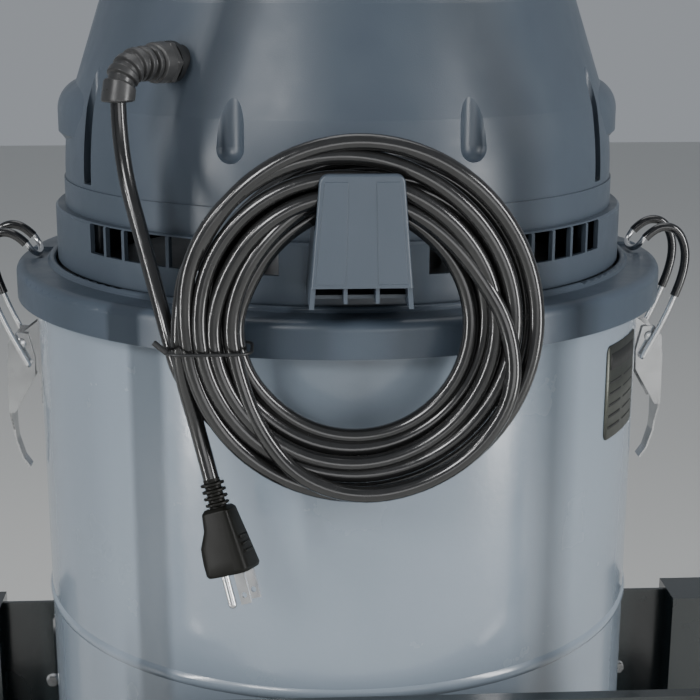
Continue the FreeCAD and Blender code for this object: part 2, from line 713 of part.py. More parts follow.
def trolley_cheek(floor_z):
    """Web from the drum side out to a closed square post, with a foot flange on the deck."""
    gap = DRUM_R
    web = [(gap, WEB_TOP), (gap, WEB_TOP - 4), (gap + 3.5, WEB_TOP - 14), (gap + 3.5, floor_z),
           (246.0, floor_z), (246.0, WEB_TOP)]
    parts = [plate(web, "y", -4, SHEET)]
    post = box(246, 288, -26, 12, DECK_Z + 86, WEB_TOP + 2)
    post = post.cut(box(249, 285, -23, 9, DECK_Z + 80, WEB_TOP - 1))
    parts.append(post)
    parts.append(box(gap + 5, 246, -24, -3, floor_z, floor_z + 3))
    parts.append(box(gap + 3.5, gap + 14, -4, 8, floor_z, WEB_TOP - 16).cut(
        box(gap + 6.5, gap + 14, -1, 8, floor_z, WEB_TOP - 16)))
    return fused(parts)


def hex_bolt(seat, outward):
    """Small hexagon bolt head with its washer."""
    washer = Part.makeCylinder(4.9, 1.0, seat, outward)
    corners = []
    for i in range(6):
        a = math.radians(60 * i)
        corners.append(Vector(4.2 * math.cos(a), 4.2 * math.sin(a), 0))
    head = Part.Face(Part.makePolygon(corners + corners[:1])).extrude(Vector(0, 0, 3.6))
    head.Placement = FreeCAD.Placement(seat + outward * 1.0, FreeCAD.Rotation(UP, outward))
    return fused([washer, head])


def rear_wheels():
    """Plain axle with a fixed collar at each end, two moulded wheels and their rubber tyres."""
    along = Vector(1, 0, 0)
    reach = REAR_WHEEL_X + REAR_WHEEL_W / 2 - 2
    axle = Part.makeCylinder(8.0, 2 * reach, Vector(-reach, REAR_AXLE_Y, REAR_WHEEL_R), along)
    keep("rear_axle", axle)
    for name, side in SIDES:
        centre = Vector(side * REAR_WHEEL_X, REAR_AXLE_Y, REAR_WHEEL_R)
        keep("wheel_" + name, wheel_hub(centre, REAR_WHEEL_R - 16, REAR_WHEEL_W, 8.0))
        keep("tyre_" + name, tyre(centre, REAR_WHEEL_R, REAR_WHEEL_R - 16, REAR_WHEEL_W))


def wheel_hub(centre, radius, width, bore):
    """Moulded wheel body: rim, web, hub boss and six ribs, on the X axis."""
    half = width / 2
    profile = [(bore + RUN, -half + 4), (bore + 12, -half + 4), (bore + 12, -2), (radius - 7, -2),
               (radius - 7, -half + 2), (radius, -half + 2), (radius, half - 2), (radius - 7, half - 2),
               (radius - 7, 2), (bore + 12, 2), (bore + 12, half - 4), (bore + RUN, half - 4)]
    parts = [revolve(profile)]
    for i in range(6):
        rib = box(bore + 10, radius - 5, -1.5, 1.5, -half + 6, half - 6)
        rib.rotate(Vector(0, 0, 0), UP, 60 * i)
        parts.append(rib)
    hub = fused(parts)
    hub.Placement = FreeCAD.Placement(centre, FreeCAD.Rotation(UP, Vector(1, 0, 0)))
    return hub


def tyre(centre, outer, inner, width):
    """Rubber tyre with rounded shoulders, on the X axis."""
    half = width / 2
    shoulder = 5.0
    cut = shoulder * 0.29
    profile = [(inner, -half + 1), (outer - shoulder, -half),
               (outer, -half + shoulder, outer - cut, -half + cut),
               (outer, half - shoulder),
               (outer - shoulder, half, outer - cut, half - cut),
               (inner, half - 1)]
    return revolve(profile, centre, Vector(1, 0, 0))


def casters():
    """Swivel casters under the front of the deck: plate, fork with its axle, and wheel."""
    for name, side in SIDES:
        x = side * CASTER_X
        top = DECK_Z
        mount = box(x - 30, x + 30, CASTER_Y - 30, CASTER_Y + 30, top - 4, top)
        race = Part.makeCylinder(24, 7, Vector(x, CASTER_Y, top - 11))
        keep("caster_plate_" + name, fused([mount, race]).cut(
            Part.makeCylinder(6 + RUN, 30, Vector(x, CASTER_Y, top - 20))))
        wheel_y = CASTER_Y - CASTER_TRAIL
        crown = Part.makeCylinder(24, 3, Vector(x, CASTER_Y, top - 14.3))
        neck = box(x - 19, x + 19, wheel_y - 6, CASTER_Y + 8, top - 17, top - 14.3)
        stem = Part.makeCylinder(6, 15, Vector(x, CASTER_Y, top - 16))
        parts = [crown, neck, stem]
        for inner, outer in ((-19, -16), (16, 19)):
            leg = [(wheel_y - 6, top - 15), (CASTER_Y + 8, top - 15), (CASTER_Y - 6, top - 34),
                   (wheel_y + 9, CASTER_R - 9), (wheel_y - 9, CASTER_R - 9), (wheel_y - 9, CASTER_R + 9)]
            parts.append(plate(leg, "x", x + inner, outer - inner))
        parts.append(Part.makeCylinder(5, 44, Vector(x - 22, wheel_y, CASTER_R), Vector(1, 0, 0)))
        keep("caster_fork_" + name, fused(parts))
        centre = Vector(x, wheel_y, CASTER_R)
        rim = revolve([(5 + RUN, -14), (CASTER_R - 4, -12), (CASTER_R, -8), (CASTER_R, 8),
                       (CASTER_R - 4, 12), (5 + RUN, 14)], centre, Vector(1, 0, 0))
        keep("caster_wheel_" + name, rim)


def handle():
    """Upright tubular push handle on the rear panel, with a soft grip on its crossbar."""
    tube_r = 11.0
    y = -DECK_HALF_Y - SHEET - tube_r
    back = y - 15.0
    route = [Vector(-HANDLE_X, y, DECK_Z + 12), Vector(-HANDLE_X, y, 640), Vector(-HANDLE_X, back, 780),
             Vector(-HANDLE_X, back, HANDLE_TOP), Vector(HANDLE_X, back, HANDLE_TOP),
             Vector(HANDLE_X, back, 780), Vector(HANDLE_X, y, 640), Vector(HANDLE_X, y, DECK_Z + 12)]
    keep("push_handle", bent_tube(route, tube_r, tube_r - 1.8, [200, 200, 55, 55, 200, 200]))
    grip = tube(tube_r + 4, tube_r, 300, Vector(-150, back, HANDLE_TOP), Vector(1, 0, 0))
    keep("handle_grip", grip)


# ---------------------------------------------------------------- mains cord
GLAND_R = 9.5
GLAND_AZIMUTH = -36.4
GLAND_OUT = polar(1.0, GLAND_AZIMUTH)
GLAND_FOOT = polar(170.0, GLAND_AZIMUTH, LID_Z + 159.0)
BOOT_CORNER = polar(221.0, GLAND_AZIMUTH, LID_Z + 159.0)
BOOT_END = Vector(BOOT_CORNER.x, BOOT_CORNER.y, LID_Z + 139.0)

# Routes of the two free stretches of cord, laid by hand.
LEAD_ROUTE = [
    BOOT_END,
    Vector(BOOT_END.x, BOOT_END.y, LID_Z + 108.0),
    Vector(-117.5, -201.0, LID_Z + 62.0),
    Vector(-104.0, -230.0, LID_Z + 20.0),
    Vector(-97.0, -234.0, LID_Z - 8.0),
]
TAIL_ROUTE = [
    Vector(-95.5, -238.0, LID_Z + 44.0),
    Vector(-98.6, -238.0, LID_Z + 6.0),
    Vector(-88.5, -231.0, LID_Z - 36.0),
    Vector(-81.7, -238.0, LID_Z - 62.7),
]
PLUG_TURN = 158.0                   # plug turned about its own axis, ground pin toward -X


def cord():
    """Gland, strain-relief boot, cord in three stretches, twist tie and plug."""
    shank = Part.makeCylinder(GLAND_R, 14, GLAND_FOOT.sub(GLAND_OUT * 8), GLAND_OUT)
    washer = Part.makeCylinder(GLAND_R + 2.5, 4, GLAND_FOOT + GLAND_OUT * 4, GLAND_OUT)
    gland = fused([shank, washer]).cut(Part.makeCylinder(CORD_R, 40, GLAND_FOOT.sub(GLAND_OUT * 12), GLAND_OUT))
    keep("cord_gland", gland)

    boot_start = GLAND_FOOT + GLAND_OUT * 8
    stem, _ = bent_rod([boot_start, BOOT_CORNER, BOOT_END], 7.2, [19.0])
    parts = [stem, Part.makeCylinder(11.5, 10, boot_start, GLAND_OUT)]
    for i in range(3):
        parts.append(Part.makeCylinder(9.8, 3, boot_start + GLAND_OUT * (13.5 + 6 * i), GLAND_OUT))
    keep("cord_boot", fused(parts))

    cord_tube("cord_lead", LEAD_ROUTE)
    cord_tube("cord_tail", TAIL_ROUTE)

    middle = (COIL_IN + COIL_OUT) / 2
    half_r = (COIL_OUT - COIL_IN) / 2
    half_d = COIL_DEPTH / 2
    soft = 9.0
    slope = soft * 0.29
    section = [
        (middle - half_r + soft, -half_d),
        (middle + half_r - soft, -half_d),
        (middle + half_r, -half_d + soft, middle + half_r - slope, -half_d + slope),
        (middle + half_r, half_d - soft),
        (middle + half_r - soft, half_d, middle + half_r - slope, half_d - slope),
        (middle - half_r + soft, half_d),
        (middle - half_r, half_d - soft, middle - half_r + slope, half_d - slope),
        (middle - half_r, -half_d + soft),
        (middle - half_r + soft, -half_d, middle - half_r + slope, -half_d + slope),
    ]
    keep("cord_coil", revolve(section, COIL_CENTRE, Vector(0, -1, 0)))

    tie_z = LID_Z + 12.0
    left, right, front, back = -103.6, -58.2, -250.9, -221.1
    loop = [Vector(-70, front, tie_z), Vector(left, front, tie_z), Vector(left, back, tie_z),
            Vector(right, back, tie_z), Vector(right, front, tie_z), Vector(-74, front, tie_z)]
    wire, _ = bent_rod(loop, 0.9, [8.0] * 4)
    twist = Part.makeCylinder(1.6, 9, Vector(left, front + 6, tie_z), Vector(-0.4, 0.1, 0.3))
    keep("cord_tie", fused([wire, twist]))
    plug()


def plug():
    """Moulded plug with a ribbed relief, built hanging below the origin and then placed."""
    relief = 15.0
    body_low = 52.0
    parts = [revolve([(0, 0), (5.2, 0), (5.6, -relief - 1), (0, -relief - 1)])]
    for i in range(4):
        z = -1.2 - i * 3.7
        parts.append(revolve([(0, z), (6.4, z), (6.4, z - 2), (0, z - 2)]))
    upper = Part.makePolygon(corner_loop(8.5, 9.0, -relief))
    lower = Part.makePolygon(corner_loop(13.5, 12.5, -body_low))
    parts.append(Part.makeLoft([upper, lower], True))
    body = fused(parts)
    prongs = []
    root = -body_low
    for y in (-6.35, 6.35):
        blade = box(-8.5, -2.2, y - 0.75, y + 0.75, root - 17.5, root + 3)
        blade = blade.cut(Part.makeCylinder(1.6, 20, Vector(-5.35, y - 10, root - 12.5), Vector(0, 1, 0)))
        prongs.append(blade)
    pin = Part.makeCylinder(2.4, 20.5, Vector(6.55, 0, root - 17.5))
    prongs.append(fused([pin, Part.makeSphere(2.4, Vector(6.55, 0, root - 17.5))]))
    prongs = Part.makeCompound(prongs)
    body = body.cut(prongs)
    hang = TAIL_ROUTE[-2].sub(TAIL_ROUTE[-1])
    turn = FreeCAD.Rotation(UP, PLUG_TURN)
    place = FreeCAD.Placement(TAIL_ROUTE[-1], FreeCAD.Rotation(UP, hang).multiply(turn))
    body.Placement = place
    prongs.Placement = place
    keep("plug_body", body)
    keep("plug_prongs", prongs)


def corner_loop(half_x, half_y, z):
    """Closed octagon with clipped corners."""
    clip = 3.0
    points = [(-half_x + clip, -half_y), (half_x - clip, -half_y), (half_x, -half_y + clip),
              (half_x, half_y - clip), (half_x - clip, half_y), (-half_x + clip, half_y),
              (-half_x, half_y - clip), (-half_x, -half_y + clip)]
    corners = [Vector(x, y, z) for x, y in points]
    return corners + corners[:1]


def main():
    """Build every node and write one STEP file for each."""
    drum()
    rating_plate()
    inlet()
    lid_ring()
    lid_seal()
    vent_ring()
    head_dome()
    dome_screws()
    cord_hook()
    suction_motor()
    float_valve()
    power_switch()
    latches()
    trolley()
    rear_wheels()
    casters()
    handle()
    cord()
    os.makedirs("parts", exist_ok=True)
    for name, shape in NODES.items():
        shape.exportStep("parts/" + name + ".step")
    print(len(NODES), "nodes")


main()
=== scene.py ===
"""Visual model of the wet and dry shop vacuum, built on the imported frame. Metres, +Z up."""
import json
import math

import bpy
from mathutils import Matrix, Vector


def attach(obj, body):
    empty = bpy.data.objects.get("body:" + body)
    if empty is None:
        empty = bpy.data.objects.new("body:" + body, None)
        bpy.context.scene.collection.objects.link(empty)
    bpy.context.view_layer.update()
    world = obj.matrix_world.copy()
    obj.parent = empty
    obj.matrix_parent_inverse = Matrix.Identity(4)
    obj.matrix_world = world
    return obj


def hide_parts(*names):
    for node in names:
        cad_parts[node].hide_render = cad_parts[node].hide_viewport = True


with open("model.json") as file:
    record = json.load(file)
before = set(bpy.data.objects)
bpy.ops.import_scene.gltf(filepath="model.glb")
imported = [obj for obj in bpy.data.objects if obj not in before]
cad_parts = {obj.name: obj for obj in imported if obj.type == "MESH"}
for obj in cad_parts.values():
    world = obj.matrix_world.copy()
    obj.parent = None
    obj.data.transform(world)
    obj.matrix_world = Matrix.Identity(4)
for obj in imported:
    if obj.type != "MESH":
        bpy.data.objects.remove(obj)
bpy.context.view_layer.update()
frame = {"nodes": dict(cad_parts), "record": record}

BODY = "machine"
LID_Z = 0.560               # lower edge of the lid ring
DRUM_R = 0.207              # outside of the drum wall
CORD_D = 0.009
COIL_CENTRE = Vector((-0.0015, -0.236, LID_Z + 0.0247))


# ---------------------------------------------------------------- camera, floor and light
CAMERA_PLACE = (-0.0502, -0.990, 0.764)
CAMERA_LENS = 73.85         # mm, on a sensor 36 mm wide
CAMERA_SHIFT = 0.0179       # share of the frame width
CAMERA_DOWN = 14.4          # degrees below level
CAMERA_TURN = -2.9          # degrees about the vertical
FLOOR_HALF = 6.0
FLOOR_COLOUR = (0.62, 0.62, 0.60)
SKY_COLOUR = (0.80, 0.85, 0.92, 1)
SKY_STRENGTH = 0.36
# Name, place, point aimed at, size and watts.
LAMPS = [
    ("key", (-1.1, -1.9, 1.7), (0.0, 0.0, 0.60), (0.6, 0.6), 19.0),
    ("strip_left", (-1.4, -1.0, 0.8), (0.0, 0.0, 0.60), (0.06, 1.6), 20.0),
    ("strip_right", (1.4, -1.0, 0.8), (0.0, 0.0, 0.60), (0.30, 1.6), 28.0),
    ("fill_low", (0.5, -2.3, 0.55), (0.0, 0.0, 0.45), (1.4, 0.8), 8.0),
    ("top", (0.2, 0.3, 2.4), (0.0, 0.0, 0.60), (1.6, 1.2), 9.0),
]


def add_camera():
    """Camera at the viewing angle of the photograph, looking down at the rear of the machine."""
    data = bpy.data.cameras.new("camera")
    data.lens = CAMERA_LENS
    data.sensor_width = 36.0
    data.shift_x = CAMERA_SHIFT
    data.clip_start = 0.05
    data.clip_end = 60.0
    camera = bpy.data.objects.new("camera", data)
    bpy.context.scene.collection.objects.link(camera)
    camera.location = CAMERA_PLACE
    camera.rotation_euler = (math.radians(90.0 - CAMERA_DOWN), 0.0, math.radians(CAMERA_TURN))
    bpy.context.scene.camera = camera


def add_area(name, location, target, size, watts):
    """Soft rectangular lamp aimed at a point."""
    data = bpy.data.lights.new(name, "AREA")
    data.shape = "RECTANGLE"
    data.size, data.size_y = size
    data.energy = watts
    lamp = bpy.data.objects.new(name, data)
    bpy.context.scene.collection.objects.link(lamp)
    lamp.location = location
    aim = Vector(target) - Vector(location)
    lamp.rotation_euler = aim.to_track_quat("-Z", "Y").to_euler()


def add_studio():
    """Pale floor and soft studio light."""
    mesh = bpy.data.meshes.new("floor")
    half = FLOOR_HALF
    corners = [(-half, -half, 0), (half, -half, 0), (half, half, 0), (-half, half, 0)]
    mesh.from_pydata(corners, [], [(0, 1, 2, 3)])
    floor = bpy.data.objects.new("floor", mesh)
    bpy.context.scene.collection.objects.link(floor)
    floor.data.materials.append(plain("floor_paint", FLOOR_COLOUR, 0.7))
    world = bpy.data.worlds.new("studio")
    world.use_nodes = True
    background = world.node_tree.nodes["Background"]
    background.inputs["Color"].default_value = SKY_COLOUR
    background.inputs["Strength"].default_value = SKY_STRENGTH
    bpy.context.scene.world = world
    for lamp in LAMPS:
        add_area(*lamp)


# ---------------------------------------------------------------- materials
NOISE_LOW = 0.3             # most of a noise texture lies between these two values
NOISE_HIGH = 0.7
COAT_ROUGHNESS = 0.12


def plain(name, colour, roughness):
    """Material with one colour, for the floor only."""
    material = bpy.data.materials.new(name)
    material.use_nodes = True
    shader = material.node_tree.nodes["Principled BSDF"]
    shader.inputs["Base Color"].default_value = (*colour, 1)
    shader.inputs["Roughness"].default_value = roughness
    return material


class Surface:
    """Node tree of one procedural material, with the few nodes that every finish here needs."""

    def __init__(self, name, roughness, metallic=0.0, specular=0.5, coat=0.0):
        self.material = bpy.data.materials.new(name)
        self.material.use_nodes = True
        self.nodes = self.material.node_tree.nodes
        self.links = self.material.node_tree.links
        self.shader = self.nodes["Principled BSDF"]
        self.shader.inputs["Roughness"].default_value = roughness
        self.shader.inputs["Metallic"].default_value = metallic
        self.shader.inputs["Specular IOR Level"].default_value = specular
        self.shader.inputs["Coat Weight"].default_value = coat
        self.shader.inputs["Coat Roughness"].default_value = COAT_ROUGHNESS
        self.place = self.nodes.new("ShaderNodeTexCoord")

    def noise(self, scale, detail):
        """Noise over the object's own coordinates, in waves per metre."""
        texture = self.nodes.new("ShaderNodeTexNoise")
        texture.inputs["Scale"].default_value = scale
        texture.inputs["Detail"].default_value = detail
        self.links.new(self.place.outputs["Object"], texture.inputs["Vector"])
        return texture.outputs["Fac"]

    def ramp(self, factor, stops):
        """Colour ramp from (position, colour) stops."""
        node = self.nodes.new("ShaderNodeValToRGB")
        while len(node.color_ramp.elements) < len(stops):
            node.color_ramp.elements.new(0.5)
        for element, (position, colour) in zip(node.color_ramp.elements, stops):
            element.position = position
            element.color = (*colour, 1)
        self.links.new(factor, node.inputs["Fac"])
        return node.outputs["Color"]

    def spread(self, factor, low, high):
        """A number that varies between low and high."""
        node = self.nodes.new("ShaderNodeMapRange")
        node.inputs["From Min"].default_value = NOISE_LOW
        node.inputs["From Max"].default_value = NOISE_HIGH
        node.inputs["To Min"].default_value = low
        node.inputs["To Max"].default_value = high
        self.links.new(factor, node.inputs["Value"])
        return node.outputs["Result"]

    def bump(self, factor, depth):
        """Bump of a given depth in metres."""
        node = self.nodes.new("ShaderNodeBump")
        node.inputs["Strength"].default_value = 1.0
        node.inputs["Distance"].default_value = depth
        self.links.new(factor, node.inputs["Height"])
        self.links.new(node.outputs["Normal"], self.shader.inputs["Normal"])

    def mottle(self, scale, detail, colour, dark, light):
        """Base colour that drifts between a darker and a lighter tone."""
        stops = [(NOISE_LOW, scaled(colour, dark)), (NOISE_HIGH, scaled(colour, light))]
        tone = self.ramp(self.noise(scale, detail), stops)
        self.links.new(tone, self.shader.inputs["Base Color"])

    def uneven_gloss(self, scale, detail, low, high):
        """Roughness that drifts between two values."""
        value = self.spread(self.noise(scale, detail), low, high)
        self.links.new(value, self.shader.inputs["Roughness"])


def linear(red, green, blue):
    """Linear colour from 0-255 display values."""
    levels = []
    for value in (red, green, blue):
        share = value / 255.0
        levels.append(share / 12.92 if value <= 10 else ((share + 0.055) / 1.055) ** 2.4)
    return tuple(levels)


def scaled(colour, factor):
    """Lighter or darker version of a colour."""
    return tuple(v * factor for v in colour)


def moulded(name, colour, roughness, specular=0.5):
    """Moulded plastic: fine grain, faint mottling and uneven gloss."""
    surface = Surface(name, roughness, specular=specular)
    surface.mottle(9, 4, colour, 0.93, 1.06)
    surface.uneven_gloss(40, 5, roughness - 0.05, roughness + 0.06)
    surface.bump(surface.noise(1400, 2), 0.00005)
    return surface.material


def enamel(name, colour, roughness):
    """Stoved enamel on sheet steel: clear gloss with orange peel."""
    surface = Surface(name, roughness, specular=0.5, coat=0.6)
    surface.mottle(5, 5, colour, 0.94, 1.05)
    surface.uneven_gloss(18, 6, roughness - 0.04, roughness + 0.09)
    surface.bump(surface.noise(220, 2), 0.00008)
    return surface.material


def plated(name, colour, roughness):
    """Metal: cloudy colour, slightly uneven gloss and fine grain."""
    surface = Surface(name, roughness, metallic=1.0)
    surface.mottle(90, 4, colour, 0.88, 1.05)
    surface.uneven_gloss(120, 4, roughness - 0.02, roughness + 0.03)
    surface.bump(surface.noise(700, 2), 0.000006)
    return surface.material


def soft_vinyl(name, colour, roughness, coat=0.0):
    """Vinyl or rubber: mottled colour, uneven gloss and a soft grain."""
    surface = Surface(name, roughness, specular=0.55, coat=coat)
    surface.mottle(70, 4, colour, 0.82, 1.15)
    surface.uneven_gloss(120, 4, roughness - 0.07, roughness + 0.08)
    surface.bump(surface.noise(500, 3), 0.00003)
    return surface.material


def woven(name, colour):
    """Filter cloth: matt, with bands of fine ridges."""
    surface = Surface(name, 0.9, specular=0.2)
    surface.shader.inputs["Sheen Weight"].default_value = 0.3
    surface.mottle(30, 5, colour, 0.8, 1.0)
    wave = surface.nodes.new("ShaderNodeTexWave")
    wave.inputs["Scale"].default_value = 300.0
    wave.inputs["Distortion"].default_value = 1.5
    surface.links.new(surface.place.outputs["Object"], wave.inputs["Vector"])
    surface.bump(wave.outputs["Fac"], 0.0002)
    return surface.material


CORD_JACKET = soft_vinyl("cord_jacket", linear(27, 27, 27), 0.20, 0.45)
SLEEVE_VINYL = soft_vinyl("sleeve_vinyl", linear(15, 15, 16), 0.18, 0.6)
BOOT_VINYL = soft_vinyl("boot_vinyl", linear(58, 58, 58), 0.34)
PLUG_VINYL = moulded("plug_vinyl", linear(16, 16, 13), 0.42, specular=0.18)
FIELD_INK = moulded("field_ink", linear(18, 19, 18), 0.55)
MATERIALS = {
    "motor_plastic": moulded("motor_plastic", linear(61, 70, 80), 0.38),
    "lid_plastic": moulded("lid_plastic", linear(59, 69, 80), 0.34),
    "drum_paint": enamel("drum_paint", linear(126, 137, 148), 0.20),
    "trolley_paint": enamel("trolley_paint", linear(27, 33, 34), 0.20),
    "zinc_steel": plated("zinc_steel", linear(200, 201, 202), 0.21),
    "black_rubber": soft_vinyl("black_rubber", linear(40, 40, 40), 0.42),
    "tyre_rubber": soft_vinyl("tyre_rubber", linear(26, 26, 26), 0.75),
    "black_plastic": moulded("black_plastic", linear(24, 25, 26), 0.45),
    "label_metal": plated("label_metal", linear(96, 98, 92), 0.42),
    "cloth": woven("cloth", linear(210, 206, 196)),
    "motor_metal": plated("motor_metal", linear(160, 162, 164), 0.45),
    "float_plastic": moulded("float_plastic", linear(224, 224, 218), 0.3),
}


def dress_nodes():
    """Every CAD node takes the procedural material of its slot."""
    slots = {part["node"]: part["material_slot"] for part in frame["record"]["subparts"]}
    for name, node in frame["nodes"].items():
        node.data.materials.clear()
        node.data.materials.append(MATERIALS[slots[name]])


# ---------------------------------------------------------------- mains cord
LEAD_POINTS = [
    (-0.1311, -0.1779, 0.699),
    (-0.1311, -0.1779, 0.668),
    (-0.1175, -0.2010, 0.622),
    (-0.1040, -0.2300, 0.580),
    (-0.0970, -0.2340, 0.552),
]
TAIL_POINTS = [
    (-0.0955, -0.2380, 0.604),
    (-0.0986, -0.2380, 0.566),
    (-0.0885, -0.2310, 0.524),
    (-0.0817, -0.2380, 0.4973),
]
# Radius and depth in front of the middle of the coil, one pair for each turn as it was wound:
# the back row from the outside in, the middle row and then the front row from the inside out.
TURNS = [
    (0.0955, -0.009), (0.0865, -0.009), (0.0775, -0.009), (0.0685, -0.009),
    (0.0640, 0.000), (0.0730, 0.000), (0.0820, 0.000),
    (0.0685, 0.009), (0.0775, 0.009), (0.0865, 0.009), (0.0965, 0.009),
]
STEPS_PER_TURN = 16
LEAD_STEPS = 2              # the lead joins the first turn this many steps below its left side
SLIDE_START = 0.62          # a turn moves to its next place behind the hook, at the top of the coil
SLIDE_END = 0.88
CROSSING = 7                # this front turn runs out over the others below the tie
CROSS_OUT = 0.024
CROSS_FORWARD = 0.0085
CROSS_LEAVES = (0.05, 0.24)   # shares of the turn over which it runs out
CROSS_RETURNS = (0.40, 0.60)  # and over which it comes back
SWAY_OUT = 0.0016           # unevenness of hand winding, in the plane of the coil
SWAY_FORWARD = 0.0010       # and across it
FREE_ARC = 0.0042           # the last turn stands this far off the others above the hook
FREE_AT = 0.76
FREE_WIDTH = 0.13
BUNDLE_R = 0.0805           # middle of the strands, where the tie pulls them together
TIE_ANGLE = math.radians(189)
TIE_PULL = 0.15             # share of the way that the tie draws each strand to the middle
TIE_WIDTH = 0.35


def ease(value, start, end):
    """Smooth step from 0 at start to 1 at end."""
    part = min(1.0, max(0.0, (value - start) / (end - start)))
    return part * part * (3 - 2 * part)


def wound(turn, share):
    """Radius, depth and angle of the cord at a share of one turn."""
    radius, depth = TURNS[turn]
    next_radius, next_depth = TURNS[min(turn + 1, len(TURNS) - 1)]
    slide = ease(share, SLIDE_START, SLIDE_END)
    radius += (next_radius - radius) * slide + SWAY_OUT * math.sin(2 * math.pi * share + turn * 1.7)
    depth += (next_depth - depth) * slide + SWAY_FORWARD * math.sin(4 * math.pi * share + turn * 2.3)
    if turn == CROSSING:
        over = ease(share, *CROSS_LEAVES) * (1 - ease(share, *CROSS_RETURNS))
        radius += CROSS_OUT * over
        depth += CROSS_FORWARD * over
    if turn == len(TURNS) - 1:
        radius += FREE_ARC * math.exp(-((share - FREE_AT) / FREE_WIDTH) ** 2)
    angle = math.pi + 2 * math.pi * share
    off = math.remainder(angle - TIE_ANGLE, 2 * math.pi)
    pull = TIE_PULL * math.exp(-(off / TIE_WIDTH) ** 2)
    return BUNDLE_R + (radius - BUNDLE_R) * (1 - pull), depth * (1 - pull), angle


def coil_points():
    """Control points of the coil, which runs down at its left side and up at its right side."""
    points = []
    for turn in range(len(TURNS)):
        first = LEAD_STEPS if turn == 0 else 0
        for step in range(first, STEPS_PER_TURN):
            radius, depth, angle = wound(turn, step / STEPS_PER_TURN)
            points.append((COIL_CENTRE.x + radius * math.cos(angle), COIL_CENTRE.y - depth,
                           COIL_CENTRE.z + radius * math.sin(angle)))
    return points


def add_curve(name, points, radius, resolution=6):
    """Round NURBS tube through control points."""
    data = bpy.data.curves.new(name, "CURVE")
    data.dimensions = "3D"
    data.bevel_depth = radius
    data.bevel_resolution = 5
    data.use_fill_caps = True
    spline = data.splines.new("NURBS")
    spline.points.add(len(points) - 1)
    for point, place in zip(spline.points, points):
        point.co = (*place, 1.0)
    spline.order_u = 3
    spline.use_endpoint_u = True
    spline.resolution_u = resolution
    curve = bpy.data.objects.new(name, data)
    bpy.context.scene.collection.objects.link(curve)
    return curve


def add_cord():
    """The whole mains cord as one line: lead, coil and tail."""
    points = LEAD_POINTS + coil_points() + TAIL_POINTS
    cord = add_curve("mains_cord", points, CORD_D / 2)
    cord.data.materials.append(CORD_JACKET)
    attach(cord, BODY)
    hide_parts("cord_lead", "cord_coil", "cord_tail")
    plug = [add_plug(), frame["nodes"]["plug_prongs"]]


# ---------------------------------------------------------------- built pieces
def add_piece(name, rings, material, body, bevel=0.0):
    """Closed tube of quads through rings that have the same number of points, with flat ends."""
    count = len(rings[0])
    corners = [tuple(corner) for ring in rings for corner in ring]
    faces = [tuple(reversed(range(count))), tuple(range((len(rings) - 1) * count, len(rings) * count))]
    for row in range(len(rings) - 1):
        low = row * count
        for i in range(count):
            j = (i + 1) % count
            faces.append((low + i, low + j, low + count + j, low + count + i))
    mesh = bpy.data.meshes.new(name)
    mesh.from_pydata(corners, [], faces)
    mesh.validate()
    for face in mesh.polygons:
        face.use_smooth = True
    mesh.materials.append(material)
    piece = bpy.data.objects.new(name, mesh)
    bpy.context.scene.collection.objects.link(piece)
    if bevel > 0:
        rounding = piece.modifiers.new("edges", "BEVEL")
        rounding.width = bevel
        rounding.segments = 2
        rounding.limit_method = "ANGLE"
        rounding.angle_limit = math.radians(30)
        rounding.harden_normals = True
    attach(piece, body)
    return piece


# Boot that leads the cord out of the dome and round through a right angle.
GLAND_AZIMUTH = math.radians(-36.4)
GLAND_OUT = Vector((math.sin(GLAND_AZIMUTH), -math.cos(GLAND_AZIMUTH), 0.0))
BOOT_START = GLAND_OUT * 0.178 + Vector((0, 0, LID_Z + 0.159))
BOOT_STRAIGHT = 0.024
BOOT_BEND = 0.019
BOOT_RIB_R = 0.0102
BOOT_CORE_R = 0.0076
BOOT_RIBS = 5
BOOT_RIB_FIRST = 0.0150
BOOT_RIB_PITCH = 0.0062
BOOT_RIB_TOP = 0.0014       # half the width of a rib at its top
BOOT_RIB_FOOT = 0.0021      # and at its foot
# Pairs of distance along the middle line and radius.
BOOT_NECK = [(0.008, 0.0088), (0.0122, 0.0088)]
BOOT_CUFF = [(0.0445, BOOT_CORE_R), (0.0452, 0.0094), (0.0538, 0.0096), (0.0546, 0.0088), (0.0546, 0.0050)]
NUT_PROFILE = [(0.0, 0.0130), (0.0045, 0.0130)]
COLLAR_PROFILE = [(0.0040, 0.0120), (0.0120, 0.0116), (0.0130, 0.0090)]


def boot_ring(along, radius, sides=28):
    """Ring across the boot at a distance along its middle line."""
    swing = min(math.pi / 2, max(0.0, along - BOOT_STRAIGHT) / BOOT_BEND)
    level = min(along, BOOT_STRAIGHT) + BOOT_BEND * math.sin(swing)
    rest = max(0.0, along - BOOT_STRAIGHT - BOOT_BEND * math.pi / 2)
    centre = BOOT_START + GLAND_OUT * level
    centre.z -= BOOT_BEND * (1 - math.cos(swing)) + rest
    side = GLAND_OUT.cross(Vector((0, 0, 1)))
    across = GLAND_OUT * math.sin(swing) + Vector((0, 0, math.cos(swing)))
    angles = [2 * math.pi * i / sides for i in range(sides)]
    return [centre + side * (radius * math.cos(a)) + across * (radius * math.sin(a)) for a in angles]


